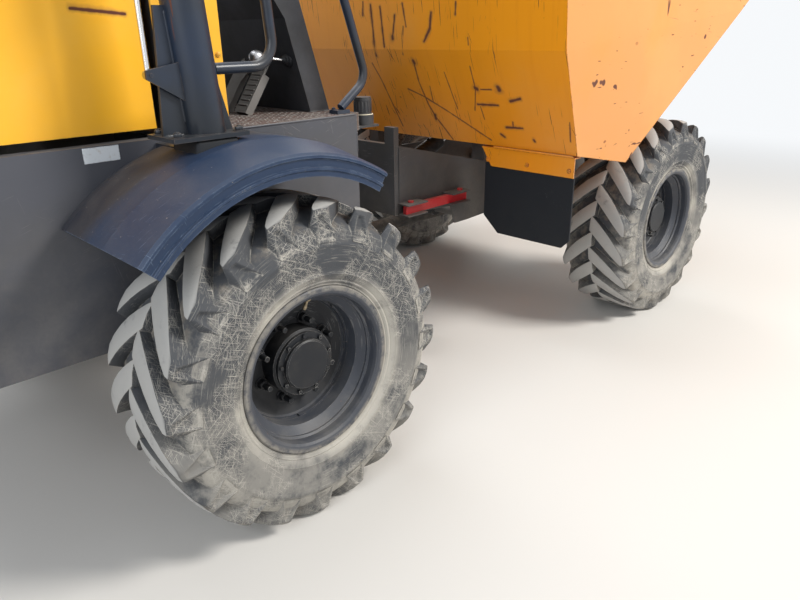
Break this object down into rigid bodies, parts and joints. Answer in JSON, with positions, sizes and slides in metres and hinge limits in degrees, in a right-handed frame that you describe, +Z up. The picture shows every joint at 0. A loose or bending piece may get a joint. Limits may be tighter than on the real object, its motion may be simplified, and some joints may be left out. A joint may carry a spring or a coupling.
{
  "type": "articulated forward tip site dumper",
  "caption": "Articulated site dumper with a forward-tipping skip, agricultural-pattern tyres, folding roll hoop, opening bonnet and an oscillating centre pivot.",
  "frame": {"origin": "on the ground, under the middle of the machine's overall box", "axes": "+X forward to the skip's lip, +Y to the operator's left, +Z up"},
  "size_m": [4.35, 2.24, 3],
  "materials": {
    "chassis_paint": "satin dark grey-brown, scratched",
    "front_paint": "satin dark grey, dusty",
    "axle_paint": "black painted castings",
    "lamp_lens": "red lenses",
    "engine_iron": "dull grey",
    "deck_paint": "dusty tread plate",
    "body_yellow": "yellow gloss paint",
    "inner_black": "satin black",
    "seat_vinyl": "black vinyl",
    "grip_black": "black moulded grip",
    "pedal_steel": "worn knurled steel",
    "rops_black": "semi-gloss black",
    "rail_black": "semi-gloss black",
    "fender_plastic": "black moulded plastic, dusty",
    "lock_red": "red paint",
    "skip_yellow": "yellow paint, scratched and rusty",
    "flap_rubber": "black rubber",
    "ram_black": "black paint",
    "rod_chrome": "hard chrome",
    "tyre_rubber": "dusty tread rubber",
    "rim_paint": "dusty grey-brown paint",
    "hub_black": "black paint"
  },
  "bodies": {
    "rear_chassis": {"rear_frame": "chassis_paint", "rear_axle": "axle_paint", "counterweight": "chassis_paint", "rear_lamps": "lamp_lens", "tow_hitch": "chassis_paint", "engine_block": "engine_iron", "gearbox": "engine_iron", "operator_platform": "deck_paint", "seat_side_panels": "body_yellow", "seat_base": "inner_black", "seat_cushion": "seat_vinyl", "seat_back": "seat_vinyl", "dash_console": "inner_black", "steering_wheel": "grip_black", "pedals": "pedal_steel", "rops_bases": "rops_black", "handrails": "rail_black", "fenders": "fender_plastic", "access_step": "chassis_paint", "breather": "inner_black"},
    "knuckle": {"centre_knuckle": "front_paint"},
    "front_chassis": {"front_frame": "front_paint", "front_axle": "axle_paint", "lock_bar": "lock_red"},
    "skip": {"skip_shell": "skip_yellow", "skip_mounts": "skip_yellow", "flap_brackets": "skip_yellow", "mudflaps": "flap_rubber"},
    "tip_barrels": {"tip_barrels": "ram_black"},
    "tip_rods": {"tip_rods": "rod_chrome"},
    "steer_barrel": {"steer_barrel": "ram_black"},
    "steer_rod": {"steer_rod": "rod_chrome"},
    "bonnet": {"bonnet": "body_yellow", "rear_grille": "inner_black"},
    "rops_hoop": {"rops_hoop": "rops_black"},
    "strut_rods": {"strut_rods": "rod_chrome"},
    "strut_tubes": {"strut_tubes": "ram_black"},
    "wheel_front_left": {"tyre_front_left": "tyre_rubber", "rim_front_left": "rim_paint", "hub_front_left": "hub_black"},
    "wheel_front_right": {"tyre_front_right": "tyre_rubber", "rim_front_right": "rim_paint", "hub_front_right": "hub_black"},
    "wheel_rear_left": {"tyre_rear_left": "tyre_rubber", "rim_rear_left": "rim_paint", "hub_rear_left": "hub_black"},
    "wheel_rear_right": {"tyre_rear_right": "tyre_rubber", "rim_rear_right": "rim_paint", "hub_rear_right": "hub_black"}
  },
  "joints": [
    {"name": "steering", "type": "hinge", "parent": "rear_chassis", "child": "knuckle", "pos_m": [-0.375, 0, 0.855], "axis": [0, 0, 1], "range_deg": [-33, 33]},
    {"name": "oscillation", "type": "hinge", "parent": "knuckle", "child": "front_chassis", "pos_m": [-0.175, 0, 0.88], "axis": [1, 0, 0], "range_deg": [-10, 10]},
    {"name": "skip_tip", "type": "hinge", "parent": "front_chassis", "child": "skip", "pos_m": [1.575, 0, 0.95], "axis": [0, 1, 0], "range_deg": [0, 70]},
    {"name": "tip_ram_swing", "type": "hinge", "parent": "front_chassis", "child": "tip_barrels", "pos_m": [0.275, 0, 0.66], "axis": [0, 1, 0], "range_deg": [-14, 2]},
    {"name": "tip_ram_stroke", "type": "slide", "parent": "tip_barrels", "child": "tip_rods", "axis": [0.9341, 0, 0.3571], "range_m": [-0.01, 0.49]},
    {"name": "steer_ram_swing", "type": "hinge", "parent": "rear_chassis", "child": "steer_barrel", "pos_m": [-0.935, -0.15, 0.82], "axis": [0, 0, 1], "range_deg": [-3, 3]},
    {"name": "steer_ram_stroke", "type": "slide", "parent": "steer_barrel", "child": "steer_rod", "axis": [1, 0, 0], "range_m": [-0.09, 0.09]},
    {"name": "bonnet_open", "type": "hinge", "parent": "rear_chassis", "child": "bonnet", "pos_m": [-1.346, 0, 1.795], "axis": [0, 1, 0], "range_deg": [0, 50]},
    {"name": "rops_fold", "type": "hinge", "parent": "rear_chassis", "child": "rops_hoop", "pos_m": [-1.44832, 0, 1.975], "axis": [0, 1, 0], "range_deg": [-90, 0]},
    {"name": "strut_swing", "type": "hinge", "parent": "rear_chassis", "child": "strut_rods", "pos_m": [-1.46994, 0, 1.433], "axis": [0, 1, 0], "range_deg": [-16, 2]},
    {"name": "strut_stroke", "type": "slide", "parent": "strut_rods", "child": "strut_tubes", "axis": [0, 0, 1], "range_m": [-0.17, 0.01]},
    {"name": "wheel_front_left_spin", "type": "hinge", "parent": "front_chassis", "child": "wheel_front_left", "pos_m": [1.31, 0.916, 0.535], "axis": [0, 1, 0], "continuous": true},
    {"name": "wheel_front_right_spin", "type": "hinge", "parent": "front_chassis", "child": "wheel_front_right", "pos_m": [1.31, -0.916, 0.535], "axis": [0, 1, 0], "continuous": true},
    {"name": "wheel_rear_left_spin", "type": "hinge", "parent": "rear_chassis", "child": "wheel_rear_left", "pos_m": [-1.16, 0.916, 0.535], "axis": [0, 1, 0], "continuous": true},
    {"name": "wheel_rear_right_spin", "type": "hinge", "parent": "rear_chassis", "child": "wheel_rear_right", "pos_m": [-1.16, -0.916, 0.535], "axis": [0, 1, 0], "continuous": true}
  ],
  "couplings": [
    {"joint": "tip_ram_swing", "follows": "skip_tip", "ratio": -0.15227},
    {"joint": "tip_ram_stroke", "follows": "skip_tip", "m_per_rad": 0.38794},
    {"joint": "steer_ram_swing", "follows": "steering", "ratio": -0.011162},
    {"joint": "steer_ram_stroke", "follows": "steering", "m_per_rad": 0.14171},
    {"joint": "strut_swing", "follows": "rops_fold", "ratio": 0.1482},
    {"joint": "strut_stroke", "follows": "rops_fold", "m_per_rad": 0.09689}
  ]
}
